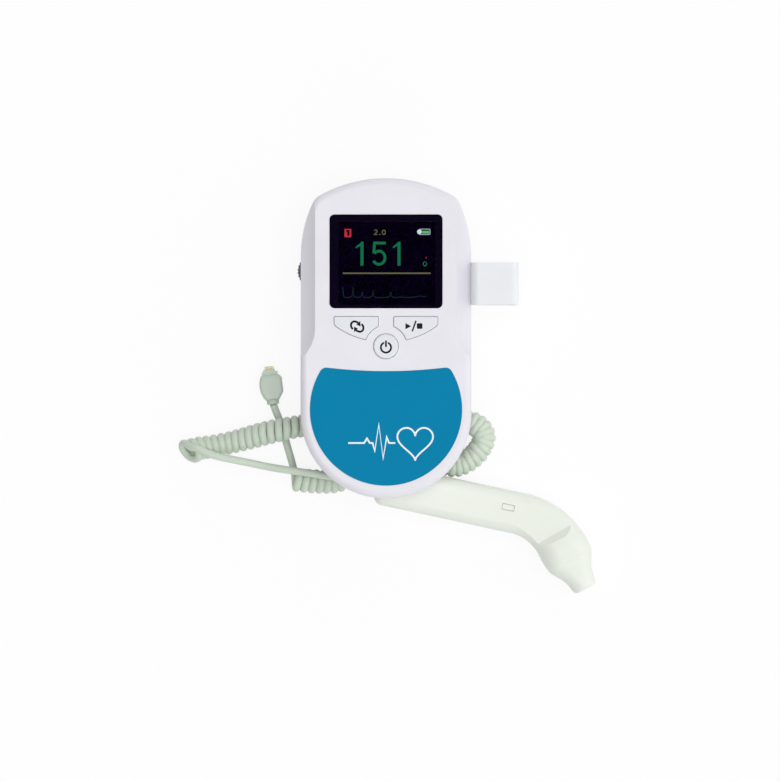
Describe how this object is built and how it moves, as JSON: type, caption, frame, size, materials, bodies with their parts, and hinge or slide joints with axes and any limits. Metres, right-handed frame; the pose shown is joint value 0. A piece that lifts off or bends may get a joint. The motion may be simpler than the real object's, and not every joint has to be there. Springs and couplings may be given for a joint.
{
  "type": "fetal doppler monitor",
  "caption": "Handheld fetal doppler monitor with a colour display, keys, a volume wheel and a probe holder, and a bent pencil probe on a curly cord.",
  "frame": {"origin": "on the rear cover's flat rest face, on the unit's centreline, midway along the hump", "axes": "+Z out of the display, +Y towards the domed end, +X towards the probe holder"},
  "size_m": [0.1771, 0.1759, 0.0358],
  "materials": {
    "housing_white": "fine satin moulded ABS",
    "holder_white": "satin moulded ABS",
    "key_white": "satin moulded ABS",
    "window_black": "clear acrylic with a dark printed border",
    "display_glass": "colour display behind polished glass",
    "panel_blue": "satin printed overlay",
    "wheel_grey": "moulded, knurled rim",
    "screw_steel": "zinc plated",
    "inner_black": "moulded",
    "board_green": "solder mask",
    "chip_black": "moulded epoxy",
    "speaker_metal": "stamped",
    "mesh_black": "woven dust mesh",
    "battery_jacket": "printed jacket, bare ends",
    "contact_nickel": "nickel plated spring steel",
    "probe_mint": "satin moulded ABS",
    "lens_grey": "smooth cast epoxy",
    "crystal_cream": "fired ceramic",
    "cord_green": "smooth PVC jacket",
    "plug_green": "moulded PVC",
    "tongue_tan": "moulded insulator",
    "contact_gold": "gold flash"
  },
  "bodies": {
    "housing": {"front_cover": "housing_white", "rear_cover": "housing_white", "case_screws": "screw_steel", "board_screws": "screw_steel", "display_window": "window_black", "display_module": "display_glass", "display_holder": "inner_black", "main_board": "board_green", "board_chips": "chip_black", "key_switches": "chip_black", "front_panel": "panel_blue", "potentiometer": "inner_black", "wheel_screw": "screw_steel", "headphone_jack": "inner_black", "probe_socket": "inner_black", "speaker": "speaker_metal", "speaker_mesh": "mesh_black", "batteries": "battery_jacket", "battery_contacts": "contact_nickel", "battery_springs": "contact_nickel", "probe_holder": "holder_white"},
    "mode_key": {"mode_button": "key_white"},
    "play_stop_key": {"play_stop_button": "key_white"},
    "power_key": {"power_button": "key_white"},
    "wheel": {"volume_wheel": "wheel_grey"},
    "door": {"battery_door": "housing_white"},
    "probe": {"probe_upper_shell": "probe_mint", "probe_lower_shell": "probe_mint", "probe_nose": "probe_mint", "acoustic_lens": "lens_grey", "transducer_crystals": "crystal_cream", "crystal_backing": "inner_black", "probe_boot": "cord_green", "probe_lead": "cord_green", "curly_cord": "cord_green", "plug_lead": "cord_green", "plug_collar": "plug_green", "plug_body": "plug_green", "plug_nose": "plug_green", "plug_tongue": "tongue_tan", "plug_contacts": "contact_gold"}
  },
  "joints": [
    {"name": "mode_press", "type": "slide", "parent": "housing", "child": "mode_key", "axis": [0, 0, -1], "range_m": [0, 0.0005], "stiffness_N_per_m": 400},
    {"name": "play_stop_press", "type": "slide", "parent": "housing", "child": "play_stop_key", "axis": [0, 0, -1], "range_m": [0, 0.0005], "stiffness_N_per_m": 400},
    {"name": "power_press", "type": "slide", "parent": "housing", "child": "power_key", "axis": [0, 0, -1], "range_m": [0, 0.0005], "stiffness_N_per_m": 400},
    {"name": "volume_turn", "type": "hinge", "parent": "housing", "child": "wheel", "pos_m": [-0.0304, 0.0134, 0.0227], "axis": [0, 0, 1], "range_deg": [-145, 145]},
    {"name": "door_slide", "type": "slide", "parent": "housing", "child": "door", "axis": [0, 1, 0], "range_m": [0, 0.034]},
    {"name": "probe_away", "type": "slide", "parent": "housing", "child": "probe", "axis": [0, -1, 0], "range_m": [0, 0.06]}
  ]
}
